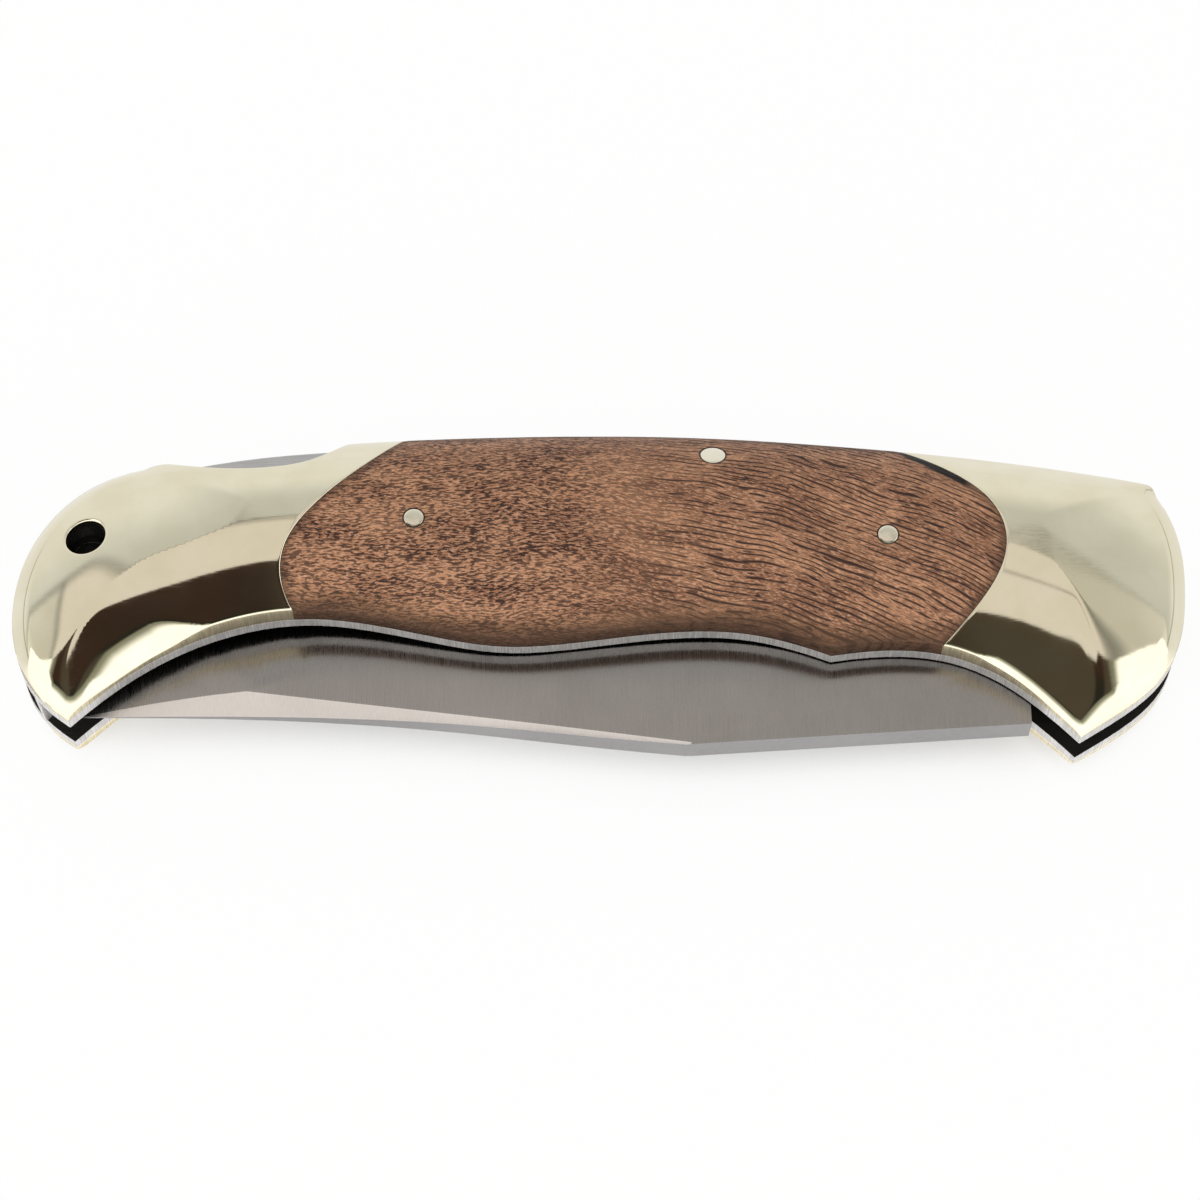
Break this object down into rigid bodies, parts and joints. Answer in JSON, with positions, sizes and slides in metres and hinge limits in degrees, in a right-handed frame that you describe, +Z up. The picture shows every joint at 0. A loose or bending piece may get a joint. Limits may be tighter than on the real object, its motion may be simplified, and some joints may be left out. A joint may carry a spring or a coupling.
{
  "type": "folding pocket knife",
  "caption": "Closed lock-back folding knife with wood scales, polished metal bolsters, steel liners, a clip-point blade, a rocker lock bar along the back and a lanyard hole.",
  "frame": {"origin": "centre of the bounding box, on the plane that the knife's left side lies on", "axes": "+X from the butt to the pivot end, +Y from the belly to the back, +Z up through the right side"},
  "size_m": [0.1108, 0.032, 0.0152],
  "materials": {
    "blade_steel": "satin, brushed across the blade",
    "spring_steel": "satin",
    "liner_steel": "satin",
    "nickel_silver": "mirror polish",
    "bronze": "smooth",
    "wood": "oiled, open pores"
  },
  "bodies": {
    "handle": {"right_liner": "liner_steel", "left_liner": "liner_steel", "right_scale": "wood", "left_scale": "wood", "right_front_bolster": "nickel_silver", "left_front_bolster": "nickel_silver", "right_rear_bolster": "nickel_silver", "left_rear_bolster": "nickel_silver", "right_bolster_rivets": "nickel_silver", "left_bolster_rivets": "nickel_silver", "right_pivot_washer": "bronze", "left_pivot_washer": "bronze", "rear_spacer": "liner_steel", "lock_spring": "spring_steel", "pivot_pin": "nickel_silver", "rocker_pin": "nickel_silver", "front_handle_pin": "nickel_silver", "rear_handle_pin": "nickel_silver", "butt_pins": "nickel_silver"},
    "blade": {"blade": "blade_steel"},
    "lock_bar": {"lock_bar": "spring_steel"}
  },
  "joints": [
    {"name": "blade_pivot", "type": "hinge", "parent": "handle", "child": "blade", "pos_m": [0.04629, -0.00173, 0.0076], "axis": [0, 0, 1], "range_deg": [0, 180]},
    {"name": "lock_rocker", "type": "hinge", "parent": "handle", "child": "lock_bar", "pos_m": [0.0108, 0.01216, 0.0076], "axis": [0, 0, -1], "range_deg": [-2, 2.4], "stiffness_Nm_per_rad": 0.6, "deforming": ["lock_spring"]}
  ]
}
